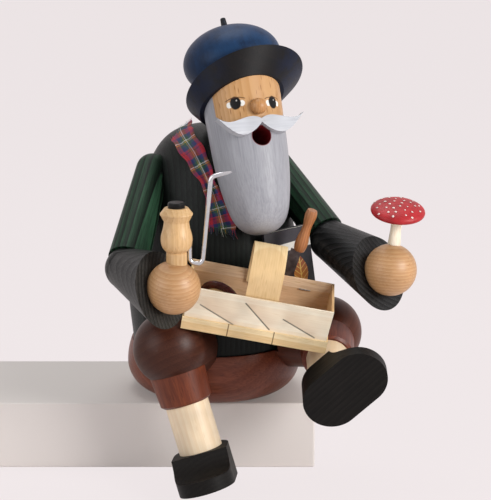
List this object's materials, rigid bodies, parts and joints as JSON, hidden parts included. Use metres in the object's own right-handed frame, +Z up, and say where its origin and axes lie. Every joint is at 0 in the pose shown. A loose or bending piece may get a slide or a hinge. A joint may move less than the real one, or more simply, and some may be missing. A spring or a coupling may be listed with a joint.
{
  "type": "incense smoker",
  "caption": "Edge-sitting incense smoker of turned wood, a bearded mushroom gatherer: the hollow upper body lifts off its seat over an incense plate and smoke leaves by the mouth.",
  "frame": {"origin": "centre of the seat's flat underside", "axes": "+Z up, -Y over the front edge of the shelf, where the legs hang; the figure faces 25 degrees from -Y towards +X"},
  "size_m": [0.2162, 0.2048, 0.3162],
  "materials": {
    "stained_wood": "stained mahogany brown, satin varnish",
    "cuff_wood": "stained brown, satin varnish",
    "jacket_wood": "dark green-black stain, satin, corduroy-like rings",
    "sleeve_wood": "dark grey stain, satin",
    "natural_wood": "clear-varnished light wood",
    "stocking_wood": "pale satin wood",
    "shoe_wood": "black stain, satin",
    "beard_wood": "grey paint, satin",
    "white_wood": "white paint, satin",
    "cap_wood": "blue stain, satin",
    "brim_wood": "blue-black stain, satin",
    "chip_wood": "bare chip wood, matt",
    "bolete_wood": "purple-brown paint, gloss",
    "agaric_wood": "red paint with white dots, gloss",
    "plug_wood": "black paint, gloss",
    "brass": "plain",
    "steel_wire": "polished wire",
    "dark_steel": "brushed",
    "paper": "page block, stands for paper",
    "book_board": "printed board, matt",
    "ribbon": "woven tartan ribbon"
  },
  "bodies": {
    "lower_body": {"seat": "stained_wood", "incense_plate": "brass", "plate_screw": "brass", "right_thigh": "stained_wood", "left_thigh": "stained_wood", "right_knee_cuff": "cuff_wood", "left_knee_cuff": "cuff_wood", "right_stocking": "stocking_wood", "left_stocking": "stocking_wood", "right_shoe": "shoe_wood", "left_shoe": "shoe_wood", "hip_dowels": "natural_wood", "knee_dowels": "natural_wood", "ankle_dowels": "natural_wood", "basket_floor": "chip_wood", "basket_front": "chip_wood", "basket_back": "chip_wood", "basket_right_end": "chip_wood", "basket_left_end": "chip_wood", "basket_base_band": "chip_wood", "basket_handle": "chip_wood", "basket_staple": "dark_steel", "bolete_caps": "bolete_wood", "bolete_stems": "stocking_wood", "knife_handle": "natural_wood", "knife_blade": "dark_steel", "book_cover": "book_board", "book_pages": "paper"},
    "upper_body": {"jacket": "jacket_wood", "neck_tube": "natural_wood", "head": "beard_wood", "nose": "natural_wood", "moustache": "white_wood", "cap_crown": "cap_wood", "cap_brim": "brim_wood", "cap_stem": "brim_wood", "cap_dowel": "natural_wood", "right_upper_arm": "jacket_wood", "left_upper_arm": "jacket_wood", "right_sleeve": "sleeve_wood", "left_sleeve": "sleeve_wood", "right_hand": "natural_wood", "left_hand": "natural_wood", "shoulder_dowels": "natural_wood", "elbow_dowels": "natural_wood", "wrist_dowels": "natural_wood", "pipe_bowl": "natural_wood", "pipe_plug": "plug_wood", "pipe_stem": "steel_wire", "toadstool_cap": "agaric_wood", "toadstool_stem": "stocking_wood", "scarf": "ribbon"}
  },
  "joints": [
    {"name": "upper_body_lift", "type": "slide", "parent": "lower_body", "child": "upper_body", "axis": [0, 0, 1], "range_m": [0, 0.075]}
  ]
}
